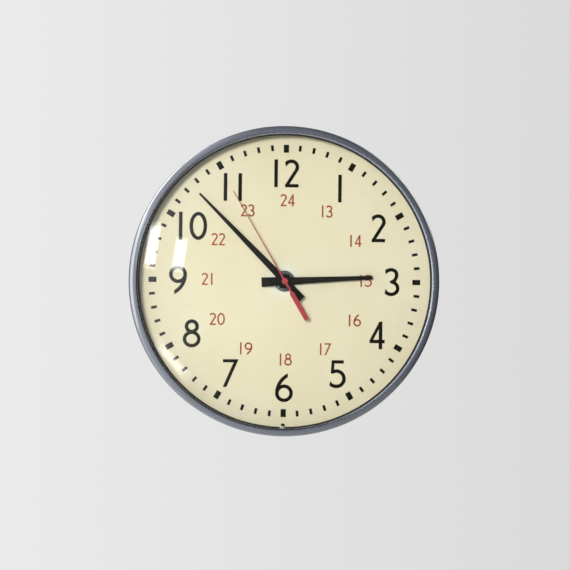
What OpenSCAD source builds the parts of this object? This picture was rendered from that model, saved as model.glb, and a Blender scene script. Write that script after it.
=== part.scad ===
// Round wall clock, 12 inch dial, wired, with a case that swings up on a hinge.
//
// Units are millimetres. The origin is the centre of the wall plate's rear face, +Z is up and
// the clock faces -Y. Each piece is drawn lying down, with x to the right, y up and z as the
// height above the wall, and from_wall() then stands it up.

/* [Case] */
// Outside diameter of the case at its rear edge
case_d = 336; // [334:1:342]
// Height of the front of the case's lip above the wall
case_depth = 46; // [46:0.5:49]
// Thickness of the case's steel sheet
sheet = 1.2; // [1:0.1:1.3]
// Width of the rounded lip, from the case's side to its inner edge
lip_w = 8.8; // [8.4:0.1:9]
// Rise of the domed glass from its edge to its middle
glass_rise = 19; // [14:1:24]
// Thickness of the glass
glass_t = 2.5; // [2:0.1:2.8]

/* [Dial] */
// Height of the dial's face above the wall
dial_z = 27; // [26.8:0.1:27.4]
// Radius of the dial disc
dial_r = 163; // [160:0.5:163]
// Thickness of the dial disc
dial_t = 0.8; // [0.6:0.1:0.8]
// Radius at which the one dial screw stands, at 6 o'clock
dial_screw_r = 155.5; // [155:0.5:157.5]

/* [Hands] */
// Length of the minute hand from the centre to its tip
minute_len = 131.5; // [110:0.5:140]
// Length of the hour hand from the centre to its tip
hour_len = 95; // [80:0.5:105]
// Length of the second hand from the centre to its tip
second_len = 112; // [90:0.5:135]
// Direction of the minute hand, clockwise from 12 o'clock
minute_angle = 315.1; // [0:0.1:359.9]
// Direction of the hour hand, clockwise from 12 o'clock
hour_angle = 86.9; // [0:0.1:359.9]
// Direction of the second hand, clockwise from 12 o'clock
second_angle = 329.5; // [0:0.1:359.9]

/* [Wall plate] */
// Radius of the wall plate
plate_r = 162; // [160:0.5:162]
// Distance between the two wall-box screws, one above the other
box_screw_gap = 83.3; // [83:0.1:88.9]
// Height of the hanging keyhole above the centre
keyhole_y = 118; // [114:1:122]

/* [Movement] */
// Distance from the centre to the third wheel's arbor
third_gap = 20.4; // [20.4:0.1:21]
// Distance from the centre to the motion-work stud
motion_gap = 15; // [15:0.1:15.4]
// Distance from the centre to the motor's output shaft
motor_gap = 24.75; // [24.75:0.05:25.25]
// Backlash of each gear pair, taken off every tooth's thickness
backlash = 0.09; // [0.08:0.01:0.12]

/* [Hidden] */
$fn = 96;

gap = 0.05;         // running clearance of a shaft in its hole, on the radius
eps = 0.01;         // overshoot of a cut past the face that it opens

// Case
case_r = case_d / 2;
rear_z = 0.8;                       // the case stands this far off the wall
side_draft = 1;                     // the side is this much narrower at its front
front_r = case_r - side_draft;
shoulder_z = case_depth - 8.5;      // where the straight side ends and the round lip starts
roll_r = 2;                         // round on the lip's inner edge
lip_r = front_r - lip_w + roll_r;   // radius of the lip's crest
lip_inner_r = lip_r - roll_r;
lip_back_z = case_depth - 3;
hem_w = 2.5;                        // turned-in hem at the rear edge
lock_z = 10;                        // height of the lock screw above the wall

// Glass and what holds it
glass_r = lip_inner_r + 2.6;
glass_seat_r = 160;
glass_top = lip_back_z - 0.6;       // the glass's outer face at glass_seat_r
glass_ball = (glass_seat_r * glass_seat_r + glass_rise * glass_rise) / (2 * glass_rise);
glass_ball_z = glass_top + glass_rise - glass_ball;
gasket_in = lip_inner_r - 1.7;
gasket_out = glass_r + 1.3;
gasket_top = lip_back_z;
gasket_back = glass_top - glass_t - 2;
wire_r = 1;
wire_ring_r = glass_r;
wire_z = gasket_back - wire_r;
loop_x = [-2.6, -0.3];              // the two legs of the wire's finger loop
loop_end_r = lip_inner_r - 0.6;
wire_end_x = 1.6;                   // the wire's other end stops this far right of 6 o'clock
tab_count = 8;

// Hinge at 12 o'clock
hinge_y = case_r - 2.8;
hinge_z = 3.2;
barrel_r = 2.4;
pin_r = 1.2;
knuckle_half = 9.8;                 // half the width of the case leaf's knuckle
hinge_half = 24;                    // half the width of the whole hinge
notch_half = 27;                    // half the width of the cut-out in the case for the hinge
notch_z = 8;

// Wall plate
plate_t = 1.2;
flange_h = 8;
rib_in = 95;
rib_out = 105;
rib_h = 2;
keyhole_r = 4.5;
keyslot_w = 5;
keyslot_len = 10;
cable_hole = [-22, -42];
cable_hole_r = 9.5;
grommet_bore_r = 6.5;
post_angles = [35, 145, 215, 325];
post_ring_r = 120;
post_r = 4;
spigot_r = 2.5;
foot_r = 2;
box_hole_r = 2.4;
rivet_r = 1.6;
rivet_head_r = 3;
keeper_x = -9;                      // middle of the lock keeper, beside the lock screw
leaf_rivets = [[-18, 148], [0, 148], [18, 148]];
keeper_rivets = [[keeper_x, -146], [keeper_x, -154]];
bracket_rivets = [[0, -136], [0, -143.4]];
rivet_at = concat(leaf_rivets, keeper_rivets, bracket_rivets);
side_rivet_x = 6;                   // the case leaf's two rivets stand this far either side
side_rivet_z = 15;

// Lock at 6 o'clock: distances from the clock's axis, down the lock screw
lock_shank_r = 2;
lock_head_r = 2.75;
lock_seat = case_r - 1.3;           // floor of the bush's counterbore, under the screw's head
bush_r = 4;
cam_out = 162.1;
cam_in = 160.6;
cam_reach = 7;

// Movement
rear_plate_z = 3.2;
front_plate_z = 22;
frame_t = 1.5;
frame_mid = [7, 0];
frame_size = [100, 62];
pillar_at = [[-38, -26], [-38, 26], [52, -26], [52, 26]];
pillar_r = 3;
screw_r = 1.5;
pivot_r = 0.5;
third_angle = 150;
motion_angle = 250;
third_at = third_gap * [cos(third_angle), sin(third_angle)];
motion_at = motion_gap * [cos(motion_angle), sin(motion_angle)];
motor_at = [motor_gap, 0];
can_at = [36, 0];
can_r = 16;
can_z = 9;
motor_screw_at = [[can_at.x, 20], [can_at.x, -20]];
lead_r = 0.9;
lead_z = can_z + 1.6;
lead_bend_r = 6;
lead_half_gap = 2.5;                // the leads enter the motor this far either side of its middle
terminal_low = [-66, -52, plate_t];
terminal_high = [-44, -32, 13];
terminal_x = [-60, -50];
terminal_y = [-47, -37];

// Coaxial shafts at the centre, from the inside out
arbor_r = 0.75;
minute_tube_r = 1.65;
hour_tube_r = 2.6;
bush_tube_r = 4.2;
washer_r = 11.6;
nut_corner_r = 8.8;
hour_z = 31;
minute_z = 33.6;
second_z = 36;
hand_t = 0.7;

// Gears: teeth and module of each pair
pressure = 25;      // pressure angle
motor_teeth = 33;
seconds_teeth = 66;
drive_module = 2 * motor_gap / (motor_teeth + seconds_teeth);
pinion_teeth = 12;
third_teeth = 90;
third_module = 2 * third_gap / (pinion_teeth + third_teeth);
centre_teeth = 96;
centre_module = 2 * third_gap / (pinion_teeth + centre_teeth);
motion_teeth = 36;
cannon_module = 2 * motion_gap / (pinion_teeth + motion_teeth);
small_teeth = 10;
hour_teeth = 40;
hour_module = 2 * motion_gap / (small_teeth + hour_teeth);
seconds_wheel_z = 6;
third_wheel_z = 8.5;
centre_wheel_z = 11.5;
motion_wheel_z = 14.5;
hour_wheel_z = 17.5;
wheel_t = 1.5;

enamel_grey = "slategray";
print_black = [0.1, 0.1, 0.09];
hand_red = [0.72, 0.27, 0.29];
cream = [0.93, 0.9, 0.77];
zinc = [0.75, 0.76, 0.78];
brass = [0.8, 0.66, 0.35];
steel = [0.62, 0.63, 0.65];
rubber_black = [0.08, 0.08, 0.08];

// ---------------------------------------------------------------- shared shapes

module from_wall() {
    rotate([90, 0, 0]) children();
}

// Round bar or disc of radius r from height z0 to z1
module bar(r, z0, z1) {
    translate([0, 0, z0]) cylinder(r = r, h = z1 - z0);
}

module tube(r_out, r_in, z0, z1) {
    difference() {
        bar(r_out, z0, z1);
        bar(r_in, z0 - eps, z1 + eps);
    }
}

// Box between two opposite corners
module block(low, high) {
    translate(low) cube(high - low);
}

// Bar along x
module cross_bar(r, x0, x1) {
    translate([x0, 0, 0]) rotate([0, 90, 0]) cylinder(r = r, h = x1 - x0);
}

// Bar of radius r on the lock's axis, between two distances from the clock's axis
module lock_bar(r, from, to) {
    translate([0, -from, lock_z]) rotate([90, 0, 0]) cylinder(r = r, h = to - from);
}

// Slotted cheese head, its underside at height z
module slotted_head(r, z, h) {
    difference() {
        bar(r, z, z + h);
        translate([0, 0, z + h]) cube([2 * r + 1, r * 0.3, h], center = true);
    }
}

function arc(mid, rx, ry, from, to, steps) =
    [for (i = [0:steps]) let (a = from + (to - from) * i / steps)
        [mid.x + rx * cos(a), mid.y + ry * sin(a)]];

// Rolling angle in degrees of an involute of base radius base, out at radius rho
function involute(rho, base) =
    let (a = acos(min(1, base / rho))) tan(a) * 180 / PI - a;

function polar(r, a) = [r * cos(a), r * sin(a)];

// Outline of an involute gear with stub teeth; the first tooth is centred on +x
module gear_outline(teeth, mod) {
    pitch_r = teeth * mod / 2;
    base_r = pitch_r * cos(pressure);
    tip_r = pitch_r + 0.8 * mod;
    root_r = pitch_r - 1.05 * mod;
    start_r = max(base_r, root_r);
    steps = teeth > 50 ? 2 : 3;
    base_half = 90 / teeth - backlash / pitch_r * 90 / PI + involute(pitch_r, base_r);
    flank = [for (k = [0:steps]) let (rho = start_r + (tip_r - start_r) * k / steps)
        [rho, base_half - involute(rho, base_r)]];
    side = base_r > root_r ? concat([[root_r, flank[0][1]]], flank) : flank;
    last = len(side) - 1;
    polygon([for (i = [0:teeth - 1]) each concat(
        [for (p = side) polar(p[0], 360 * i / teeth - p[1])],
        [for (k = [last:-1:0]) polar(side[k][0], 360 * i / teeth + side[k][1])])]);
}

// Gear from height z0 to z1, turned so that a tooth points along the angle "tooth_at"
module gear(teeth, mod, bore, z0, z1, tooth_at) {
    translate([0, 0, z0]) rotate([0, 0, tooth_at]) linear_extrude(z1 - z0) difference() {
        gear_outline(teeth, mod);
        circle(r = bore);
    }
}

// Wheel with five round windows, otherwise as gear()
module wheel(teeth, mod, bore, z0, tooth_at) {
    pitch_r = teeth * mod / 2;
    hub_r = bore + 2;
    window_r = min(0.24 * pitch_r, (0.84 * pitch_r - hub_r) / 2);
    translate([0, 0, z0]) rotate([0, 0, tooth_at]) linear_extrude(wheel_t) difference() {
        gear_outline(teeth, mod);
        circle(r = bore);
        for (i = [0:4]) rotate(72 * i) translate([(0.84 * pitch_r + hub_r) / 2, 0])
            circle(r = window_r);
    }
}

// Rounded rectangle, exact: two crossed rectangles and four corner discs
module rounded_sheet(size, r) {
    square([size.x - 2 * r, size.y], center = true);
    square([size.x, size.y - 2 * r], center = true);
    for (x = [-1, 1]) for (y = [-1, 1])
        translate([x * (size.x / 2 - r), y * (size.y / 2 - r)]) circle(r = r);
}

// Turns a drawing that points up (12 o'clock) clockwise, as seen from the front
module clockwise(angle) {
    rotate([0, 0, -angle]) children();
}

// Flat hand from rows of [distance along the hand, width]
module hand_blade(rows, z) {
    last = len(rows) - 1;
    translate([0, 0, z]) linear_extrude(hand_t) polygon(concat(
        [for (row = rows) [row[1] / 2, row[0]]],
        [for (k = [last:-1:0]) [-rows[k][1] / 2, rows[k][0]]]));
}

// ---------------------------------------------------------------- wall plate and its fittings

// Pressed steel pan: a flat disc with a raised ring rib and a low flange round its edge
module wall_plate() {
    color(zinc) from_wall() difference() {
        rotate_extrude() polygon([
            [0, 0], [rib_in, 0], [rib_in + rib_h, rib_h], [rib_out - rib_h, rib_h],
            [rib_out, 0], [plate_r, 0], [plate_r, flange_h], [plate_r - plate_t, flange_h],
            [plate_r - plate_t, plate_t], [rib_out + plate_t / 2, plate_t],
            [rib_out - rib_h + plate_t / 2, rib_h + plate_t],
            [rib_in + rib_h - plate_t / 2, rib_h + plate_t],
            [rib_in - plate_t / 2, plate_t], [0, plate_t]]);
        // gaps in the flange for the hinge and for the lock
        block([-notch_half - 1, plate_r - 12, plate_t], [notch_half + 1, plate_r + 1, flange_h + 1]);
        block([-18, -plate_r - 1, plate_t], [18, 6 - plate_r, flange_h + 1]);
        // straight edge behind the hinge's barrel
        block([-notch_half, hinge_y - barrel_r - 1.4, -1], [notch_half, plate_r + 1, flange_h]);
        // hanging keyhole, cable hole and wall-box screw holes
        translate([0, keyhole_y, 0]) bar(keyhole_r, -1, plate_t + 1);
        block([-keyslot_w / 2, keyhole_y, -1], [keyslot_w / 2, keyhole_y + keyslot_len, 3]);
        translate([0, keyhole_y + keyslot_len, 0]) bar(keyslot_w / 2, -1, plate_t + 1);
        translate(cable_hole) bar(cable_hole_r, -1, plate_t + 1);
        for (side = [-1, 1]) translate([0, side * box_screw_gap / 2, 0])
            bar(box_hole_r, -1, plate_t + 1);
        // holes for the posts, the movement screws and the rivets
        for (a = post_angles) translate(polar(post_ring_r, a)) bar(spigot_r, -1, 4);
        for (p = pillar_at) translate(p) bar(screw_r, -1, 4);
        for (p = rivet_at) translate(p) bar(rivet_r, -1, 4);
    }
}

// Moulded rubber bush that guards the cable hole
module wall_grommet() {
    color(rubber_black) from_wall() translate(cable_hole) rotate_extrude() polygon([
        [grommet_bore_r, 0], [cable_hole_r, 0], [cable_hole_r, plate_t],
        [cable_hole_r + 2.5, plate_t], [cable_hole_r + 2.5, plate_t + 1.2],
        [cable_hole_r + 1.7, plate_t + 2], [grommet_bore_r + 0.6, plate_t + 2],
        [grommet_bore_r, plate_t + 1.4]]);
}

// Bar of the hinge's line, between two places along it
module hinge_bar(r, x0, x1) {
    translate([0, hinge_y, hinge_z]) cross_bar(r, x0, x1);
}

// Fixed leaf: a strip riveted to the wall plate, with a rolled knuckle at each end
module wall_hinge_leaf() {
    leaf_z = plate_t;
    color(zinc) from_wall() difference() {
        union() {
            block([-hinge_half, 142, leaf_z], [hinge_half, hinge_y, leaf_z + 1]);
            for (x = [-hinge_half, knuckle_half + 0.4])
                hinge_bar(barrel_r, x, x + hinge_half - knuckle_half - 0.4);
        }
        block([-knuckle_half - 0.4, hinge_y - barrel_r - 0.5, -1],
            [knuckle_half + 0.4, hinge_y + barrel_r + 1, 8]);
        hinge_bar(pin_r, -30, 30);
        for (p = leaf_rivets) translate(p) bar(rivet_r, -1, 4);
    }
}

module hinge_pin() {
    color(steel) from_wall() hinge_bar(pin_r, -hinge_half - 1, hinge_half + 1);
}

// Domed rivets; the hinge leaf, the keeper and the dial bracket are all fixed by them
module plate_rivets() {
    grip = plate_t + 1;
    color(steel) from_wall() for (p = rivet_at) translate(p) {
        bar(rivet_r, 0.1, grip);
        rotate_extrude() polygon(concat([[0, grip]], arc([0, grip], rivet_head_r, 1.2, 0, 90, 6)));
    }
}

// Bent steel hook that the lock cam turns behind
module lock_keeper() {
    inner = 1.6 - cam_in;
    outer = -cam_out - 0.1;
    foot_z = plate_t + 1;
    hook_z = lock_z + 2.4;
    color(zinc) from_wall() difference() {
        union() {
            block([keeper_x - 4, inner - 1, plate_t], [keeper_x + 4, -141, foot_z]);
            block([keeper_x - 4, outer, plate_t], [keeper_x - 1.6, inner, hook_z + 1.4]);
            block([keeper_x - 4, outer, hook_z], [keeper_x + 4.2, inner, hook_z + 1.4]);
        }
        for (p = keeper_rivets) translate(p) bar(rivet_r, -1, 4);
    }
}

// Bent strip that carries the dial's one screw, at 6 o'clock
module dial_bracket() {
    back = dial_z - dial_t;
    foot = -131;
    leg = -148;
    end = -160.3;
    half = 4.5;
    color(zinc) from_wall() difference() {
        translate([-half, 0, 0]) rotate([90, 0, 90]) linear_extrude(2 * half) polygon([
            [foot, plate_t], [leg, plate_t], [leg, back - 1], [end, back - 1],
            [end, back], [leg + 1, back], [leg + 1, plate_t + 1], [foot, plate_t + 1]]);
        translate([0, -dial_screw_r, 0]) bar(1.3, back - 2, back + 1);
        for (p = bracket_rivets) translate(p) bar(rivet_r, -1, 4);
    }
}

// Turned stand-offs, each with a spigot peened into the wall plate and a socket on top
module dial_posts() {
    back = dial_z - dial_t;
    color(zinc) from_wall() for (a = post_angles) translate(polar(post_ring_r, a)) {
        bar(spigot_r, 0.1, plate_t + eps);
        difference() {
            bar(post_r, plate_t, back - 0.4);
            bar(foot_r + gap, back - 7, back);
        }
    }
}

// ---------------------------------------------------------------- dial

module dial_feet() {
    back = dial_z - dial_t;
    color(steel) from_wall() for (a = post_angles) translate(polar(post_ring_r, a)) {
        bar(foot_r, back - 6, back);
        bar(post_r - 0.5, back - 0.35, back);
    }
}

module dial() {
    color(cream) from_wall() difference() {
        bar(dial_r, dial_z - dial_t, dial_z);
        bar(bush_tube_r, dial_z - 2, dial_z + 1);
        translate([0, -dial_screw_r, 0]) bar(1.6, dial_z - 2, dial_z + 1);
    }
}

module dial_screw() {
    color(print_black) from_wall() translate([0, -dial_screw_r, 0]) {
        bar(1.3, dial_z - 4, dial_z + eps);
        slotted_head(2.1, dial_z, 1.2);
    }
}

// Threaded tube fixed in the front plate; the dial sits on its collar and the nut holds it
module centre_bush() {
    color(brass) from_wall() difference() {
        union() {
            bar(bush_tube_r, front_plate_z - 1, dial_z + 3.2);
            bar(7.5, front_plate_z + frame_t, dial_z - dial_t);
        }
        bar(hour_tube_r + gap, front_plate_z - 2, dial_z + 4);
    }
}

module centre_washer() {
    color([0.8, 0.82, 0.86]) from_wall() rotate_extrude() polygon([
        [bush_tube_r, dial_z], [washer_r, dial_z], [washer_r, dial_z + 0.3],
        [washer_r - 0.5, dial_z + 0.8], [bush_tube_r, dial_z + 0.8]]);
}

module centre_nut() {
    color([0.2, 0.2, 0.21]) from_wall() difference() {
        translate([0, 0, dial_z + 0.8]) cylinder(r = nut_corner_r, h = 2.2, $fn = 6);
        bar(bush_tube_r, dial_z, dial_z + 4);
    }
}

// ---------------------------------------------------------------- movement frame

module frame_sheet(z) {
    translate([frame_mid.x, frame_mid.y, z]) linear_extrude(frame_t) rounded_sheet(frame_size, 6);
}

module movement_rear_plate() {
    color(brass) from_wall() difference() {
        frame_sheet(rear_plate_z);
        for (p = [[0, 0], third_at, motor_at]) translate(p) bar(pivot_r + gap, 0, 8);
        for (p = pillar_at) translate(p) bar(screw_r + gap, 0, 8);
        for (p = [[-24, -18], [18, 20], [18, -20], [38, 0]]) translate(p) bar(7, 0, 8);
    }
}

module movement_front_plate() {
    color(brass) from_wall() difference() {
        frame_sheet(front_plate_z);
        bar(bush_tube_r, 20, 26);
        translate(third_at) bar(pivot_r + gap, 20, 26);
        translate(motion_at) bar(1.6, 20, 26);
        for (p = pillar_at) translate(p) bar(screw_r + gap, 20, 26);
        for (p = motor_screw_at) translate(p) bar(screw_r, 20, 26);
        for (p = [[-28, -15], [12, 21], [12, -21]]) translate(p) bar(6, 20, 26);
    }
}

module movement_pillars() {
    color(brass) from_wall() for (p = pillar_at) translate(p)
        tube(pillar_r, screw_r + gap, rear_plate_z + frame_t, front_plate_z);
}

module movement_spacers() {
    color(brass) from_wall() for (p = pillar_at) translate(p)
        tube(pillar_r, screw_r + gap, plate_t, rear_plate_z);
}

// Long screws through front plate, pillars, rear plate and spacers into the wall plate
module movement_screws() {
    color(steel) from_wall() for (p = pillar_at) translate(p) {
        bar(screw_r, 0.1, front_plate_z + frame_t + eps);
        slotted_head(2.8, front_plate_z + frame_t, 1.6);
    }
}

// ---------------------------------------------------------------- motor

// Drawn steel can of the sealed synchronous gear motor, with two fixing ears
module motor_can() {
    ear_z = front_plate_z - 1.2;
    color(steel) from_wall() difference() {
        union() {
            translate(can_at) bar(can_r, can_z + 1, front_plate_z);
            for (p = motor_screw_at) translate(p) bar(4, ear_z, front_plate_z);
            block([can_at.x - 4, -20, ear_z], [can_at.x + 4, 20, front_plate_z]);
        }
        translate(can_at) bar(can_r - 0.8, can_z, front_plate_z - 0.8);
        for (p = motor_screw_at) translate(p) bar(screw_r + gap, 18, 26);
    }
}

// Rear cover of the can, with the output shaft's bearing
module motor_cover() {
    color(zinc) from_wall() difference() {
        union() {
            translate(can_at) bar(can_r, can_z, can_z + 1);
            translate(can_at) bar(can_r - 0.8, can_z + 1, can_z + 1.8);
            translate(motor_at) bar(2.4, can_z - 0.4, can_z + 4);
        }
        translate(motor_at) bar(1 + gap, can_z - 2, can_z + 6);
    }
}

module motor_screws() {
    color(steel) from_wall() for (p = motor_screw_at) translate(p) {
        bar(screw_r, front_plate_z - 3, front_plate_z + frame_t + eps);
        slotted_head(2.6, front_plate_z + frame_t, 1.4);
    }
}

module motor_shaft() {
    color(steel) from_wall() translate(motor_at) {
        bar(1, rear_plate_z + frame_t + 0.2, can_z + 5);
        bar(pivot_r, rear_plate_z + 0.1, rear_plate_z + frame_t + 0.3);
    }
}

module motor_pinion() {
    color(brass) from_wall() translate(motor_at)
        gear(motor_teeth, drive_module, 1, seconds_wheel_z - 0.4, seconds_wheel_z + 1.9, 180);
}

// ---------------------------------------------------------------- terminals and leads

module terminal_block() {
    color([0.9, 0.88, 0.8]) from_wall() difference() {
        block(terminal_low, terminal_high);
        for (y = terminal_y) {
            for (x = terminal_x) translate([x, y, 0]) bar(1.5, 5, 14);
            translate([-67, y, 6]) cross_bar(1.6, 0, 5);
            translate([-48, y, lead_z]) cross_bar(lead_r + 0.2, 0, 5);
        }
        // groove between the two rows of screws
        block([-56, terminal_low.y - 1, 9], [-54, terminal_high.y + 1, 14]);
    }
}

module terminal_screws() {
    color(brass) from_wall() for (x = terminal_x) for (y = terminal_y) translate([x, y, 0]) {
        bar(1.45, 8, terminal_high.z + eps);
        slotted_head(2.6, terminal_high.z, 1.2);
    }
}

// Two insulated leads: out of the terminal block to the right, then up to the motor's side
module motor_leads() {
    inner = lead_half_gap - lead_r;
    can_side = -sqrt(can_r * can_r - inner * inner);
    color([0.2, 0.2, 0.2]) from_wall() for (i = [0, 1]) {
        x_up = can_at.x + lead_half_gap - 2 * lead_half_gap * i;
        bend = [x_up - lead_bend_r, terminal_y[i] + lead_bend_r, lead_z];
        translate([-47.5, terminal_y[i], lead_z]) cross_bar(lead_r, 0, bend.x + 47.5);
        translate(bend) rotate([0, 0, -90])
            rotate_extrude(angle = 90) translate([lead_bend_r, 0]) circle(r = lead_r);
        translate([x_up, bend.y, lead_z]) rotate([-90, 0, 0])
            cylinder(r = lead_r, h = can_side - bend.y);
    }
}

// ---------------------------------------------------------------- case and glass

// Spun steel case: hem, straight side with a little draft, round lip, rolled inner edge
module case_ring() {
    mid = [lip_r, shoulder_z];
    rise = case_depth - shoulder_z;
    width = front_r - lip_r;
    color(enamel_grey) from_wall() difference() {
        rotate_extrude($fn = 180) polygon(concat(
            [[case_r - hem_w, rear_z], [case_r, rear_z]],
            arc(mid, width, rise, 0, 90, 12),
            arc([lip_r, case_depth - roll_r], roll_r, roll_r, 100, 180, 4),
            [[lip_inner_r, lip_back_z], [lip_inner_r + sheet, lip_back_z],
                [lip_inner_r + sheet, case_depth - sheet - 0.3]],
            arc(mid, width - sheet, rise - sheet, 88, 0, 12),
            [[case_r - sheet, rear_z + sheet], [case_r - hem_w, rear_z + sheet]]));
        block([-notch_half, case_r - 20, -1], [notch_half, case_r + 2, notch_z]);
        lock_bar(bush_r, 155, 172);
        side_rivet_places() translate([0, 0, hinge_y - 3]) cylinder(r = rivet_r, h = 12);
    }
}

// The glass: a spherical shell cut round
module glass() {
    color([0.85, 0.92, 0.92, 0.35]) from_wall() glass_shell();
}

module glass_shell() {
    intersection() {
        bar(glass_r, 20, 90);
        translate([0, 0, glass_ball_z]) difference() {
            sphere(r = glass_ball, $fn = 180);
            sphere(r = glass_ball - glass_t, $fn = 180);
        }
    }
}

// Rubber channel round the glass's edge, its two ends either side of the wire's finger loop
module glass_gasket() {
    color(rubber_black) from_wall() difference() {
        tube(gasket_out, gasket_in, gasket_back, gasket_top);
        glass_shell();
        block([loop_x[0] - 1.6, -gasket_out - 1, 20], [loop_x[1] + 1.3, 2 - gasket_in, 60]);
    }
}

// Spring wire that holds the glass up in the lip; one end is bent into a finger loop
module glass_wire() {
    gap_left = asin(-loop_x[0] / wire_ring_r);
    gap_right = asin(wire_end_x / wire_ring_r);
    color(steel) from_wall() {
        rotate([0, 0, gap_right - 90]) rotate_extrude(angle = 360 - gap_left - gap_right)
            translate([wire_ring_r, wire_z]) circle(r = wire_r);
        translate([loop_x[0], 0.3 - wire_ring_r, wire_z]) sphere(r = wire_r * 1.1);
        for (x = loop_x) translate([x, -wire_ring_r, wire_z]) rotate([-90, 0, 0])
            cylinder(r = wire_r, h = wire_ring_r - loop_end_r);
        translate([loop_x[0], -loop_end_r, wire_z]) loop_top();
    }
}

// Half-round top of the finger loop, from one leg to the other
module loop_top() {
    half = (loop_x[1] - loop_x[0]) / 2;
    translate([half, 0, 0]) rotate_extrude(angle = 180) translate([half, 0]) circle(r = wire_r);
}

// Small steel tabs welded to the case's side, behind the wire
module glass_wire_tabs() {
    color(zinc) from_wall() for (i = [0:tab_count - 1]) rotate([0, 0, 360 * (i + 0.5) / tab_count])
        block([wire_ring_r - 1, -5, wire_z - wire_r - 1.6],
            [front_r - sheet - 0.2, 5, wire_z - wire_r]);
}

// Moving leaf: one knuckle, and a strip riveted to the inside of the case
module case_hinge_leaf() {
    strip_y = hinge_y - 0.8;
    color(zinc) from_wall() difference() {
        union() {
            hinge_bar(barrel_r, -knuckle_half, knuckle_half);
            block([-knuckle_half, strip_y, hinge_z], [knuckle_half, strip_y + 1.2, 22]);
        }
        hinge_bar(pin_r + gap, -30, 30);
        side_rivet_places() translate([0, 0, strip_y - 1]) cylinder(r = rivet_r, h = 4);
    }
}

// The case leaf's two rivet places, with the drawing's z turned to point at 12 o'clock
module side_rivet_places() {
    for (x = [-side_rivet_x, side_rivet_x]) translate([x, 0, side_rivet_z])
        rotate([-90, 0, 0]) children();
}

module case_rivets() {
    inside = hinge_y - 0.8;
    outside = case_r - 0.34;
    color(steel) from_wall() side_rivet_places() {
        bar(rivet_r, inside - 0.4, outside);
        bar(2.6, inside - 0.9, inside);
        translate([0, 0, outside]) rotate_extrude()
            polygon(concat([[0, 0]], arc([0, 0], 2.8, 0.7, 0, 90, 6)));
    }
}

// ---------------------------------------------------------------- lock

// Flanged bush that the lock screw turns and hides its head in, fixed through the case's side
module lock_bush() {
    color(zinc) from_wall() difference() {
        union() {
            lock_bar(bush_r, cam_out + 0.1, case_r);
            lock_bar(5.6, case_r - 0.15, case_r + 0.3);
        }
        lock_bar(lock_shank_r + gap, 150, 175);
        lock_bar(lock_head_r + gap, lock_seat, 175);
    }
}

module lock_bush_nut() {
    color(zinc) from_wall() difference() {
        translate([0, -cam_out - 0.6, lock_z]) rotate([90, 0, 0]) cylinder(r = 6, h = 2, $fn = 6);
        lock_bar(bush_r, 150, 175);
    }
}

// Slotted lock screw; its inner end is riveted over the cam
module lock_screw() {
    head_in = lock_seat + gap;
    head_out = case_r + 0.2;
    color(steel) from_wall() difference() {
        union() {
            lock_bar(lock_shank_r, cam_in - 0.6, head_in + eps);
            lock_bar(lock_head_r, head_in, head_out);
            lock_bar(2.7, cam_in - 0.6, cam_in);
        }
        translate([0, -head_out, lock_z]) cube([8, 1.2, 0.9], center = true);
    }
}

// Cam plate; unlocked, it points to the wall, and turned by 90 degrees it hooks the keeper
module lock_cam() {
    thick = cam_out - cam_in;
    color(zinc) from_wall() difference() {
        union() {
            lock_bar(3.2, cam_in, cam_out);
            translate([-1.8, -cam_out, lock_z - cam_reach]) cube([3.6, thick, cam_reach]);
        }
        lock_bar(lock_shank_r, 150, 175);
    }
}

// ---------------------------------------------------------------- seconds train

module second_hand() {
    color(hand_red) from_wall() clockwise(second_angle) {
        hand_blade([[-47.8, 5.2], [-16, 5.2], [-12.5, 2.4], [0, 2.2], [20, 1.3],
            [second_len, 0.9]], second_z);
        bar(3.3, second_z, second_z + hand_t);
    }
}

// Small turned boss under the second hand, pressed on the arbor
module second_hand_boss() {
    color(hand_red) from_wall() difference() {
        bar(2, second_z - 1.2, second_z);
        bar(arbor_r, second_z - 2, second_z + 1);
    }
}

module seconds_arbor() {
    color(steel) from_wall() {
        bar(arbor_r, rear_plate_z + frame_t + 0.2, second_z);
        bar(pivot_r, rear_plate_z + 0.1, rear_plate_z + frame_t + 0.3);
    }
}

module seconds_wheel() {
    color(brass) from_wall()
        wheel(seconds_teeth, drive_module, arbor_r, seconds_wheel_z, 180 / seconds_teeth);
}

module seconds_pinion() {
    color(steel) from_wall() gear(pinion_teeth, third_module, arbor_r,
        third_wheel_z - 0.5, third_wheel_z + wheel_t + 0.5, third_angle);
}

// ---------------------------------------------------------------- third arbor

module third_arbor() {
    color(steel) from_wall() translate(third_at) {
        bar(0.8, rear_plate_z + frame_t + 0.2, front_plate_z - 0.2);
        bar(pivot_r, rear_plate_z + 0.1, front_plate_z + frame_t - 0.1);
    }
}

module third_wheel() {
    color(brass) from_wall() translate(third_at)
        wheel(third_teeth, third_module, 0.8, third_wheel_z,
            third_angle + 180 + 180 / third_teeth);
}

module third_pinion() {
    color(steel) from_wall() translate(third_at) gear(pinion_teeth, centre_module, 0.8,
        centre_wheel_z - 0.5, centre_wheel_z + wheel_t + 0.5, third_angle + 180);
}

// ---------------------------------------------------------------- minute hand and its train

module minute_hand() {
    color(print_black) from_wall() clockwise(minute_angle) difference() {
        hand_blade([[-26.7, 7.8], [0, 8], [minute_len, 2.2]], minute_z);
        bar(minute_tube_r, minute_z - 1, minute_z + 2);
    }
}

module minute_hand_boss() {
    color(print_black) from_wall() tube(3.4, minute_tube_r, minute_z - 1.1, minute_z);
}

module minute_tube() {
    color(steel) from_wall()
        tube(minute_tube_r, arbor_r + gap, centre_wheel_z - 0.6, minute_z + hand_t);
}

module centre_wheel() {
    color(brass) from_wall() wheel(centre_teeth, centre_module, minute_tube_r, centre_wheel_z,
        third_angle + 180 / centre_teeth);
}

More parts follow.
